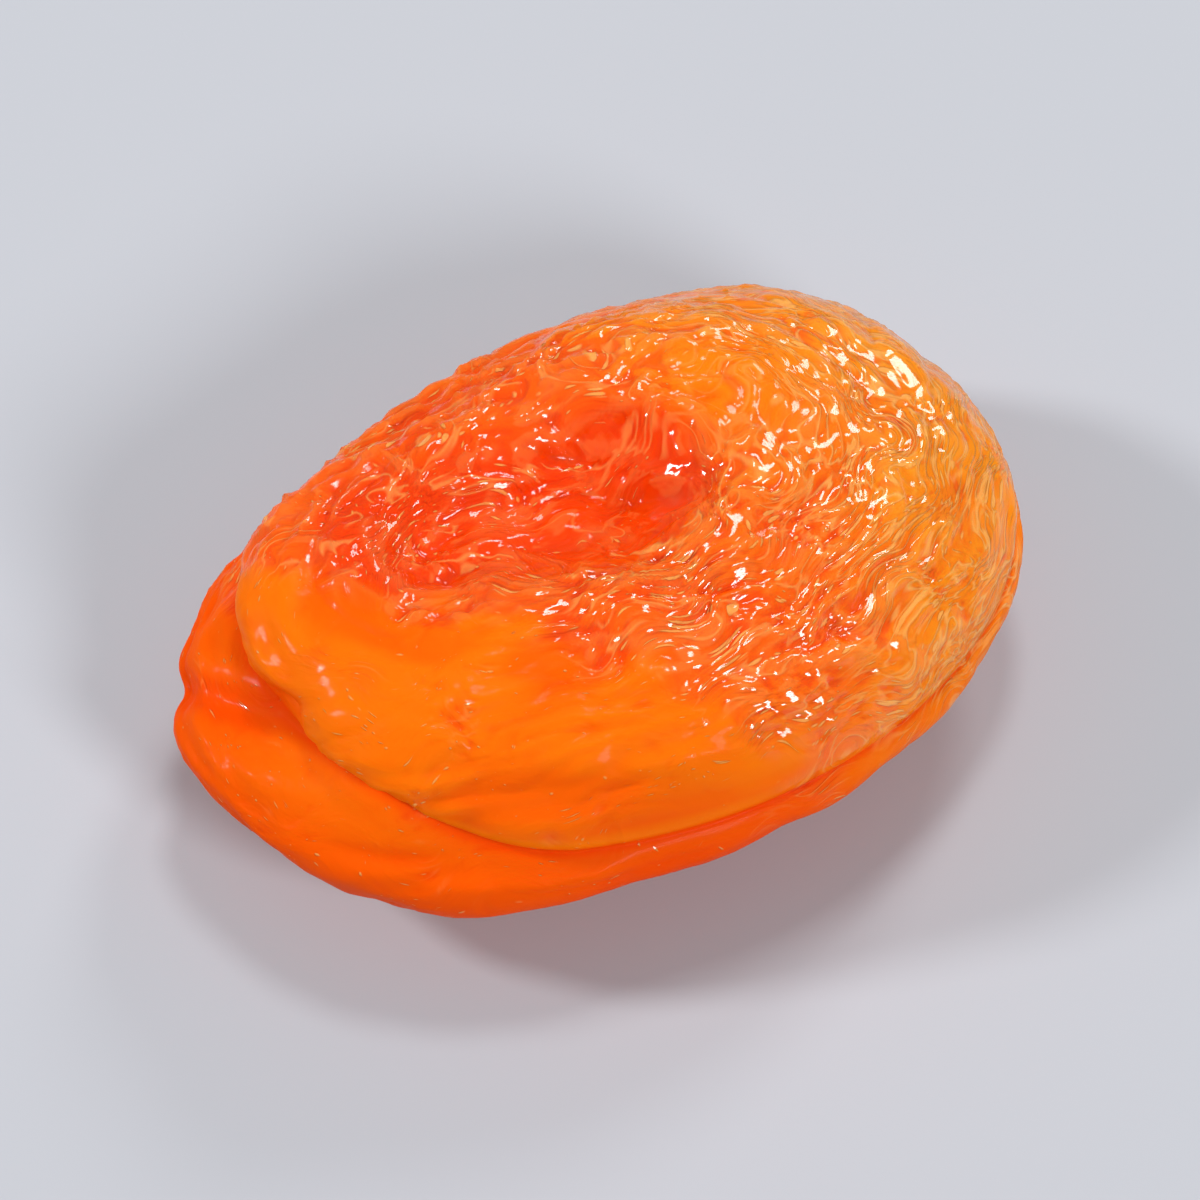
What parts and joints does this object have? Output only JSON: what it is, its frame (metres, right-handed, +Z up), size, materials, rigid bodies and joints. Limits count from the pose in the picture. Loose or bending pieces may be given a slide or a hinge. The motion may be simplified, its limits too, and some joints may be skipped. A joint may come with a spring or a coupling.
{
  "type": "dried apricot",
  "caption": "Whole pitted dried apricot, flattened, with wrinkled skin, a long hollow on top and a fat lower lip; it rests on a small flat spot.",
  "frame": {"origin": "middle of the underside, on the surface that the fruit lies on", "axes": "+X along the fruit from the stem end to the broad end, +Y across it to the far side, +Z up out of the hollow"},
  "size_m": [0.042, 0.0288, 0.0152],
  "materials": {
    "skin": "moist, softly glossy wrinkled fruit skin, bright orange, redder in the hollow and the folds"
  },
  "bodies": {
    "root": {"apricot": "skin"}
  },
  "joints": []
}
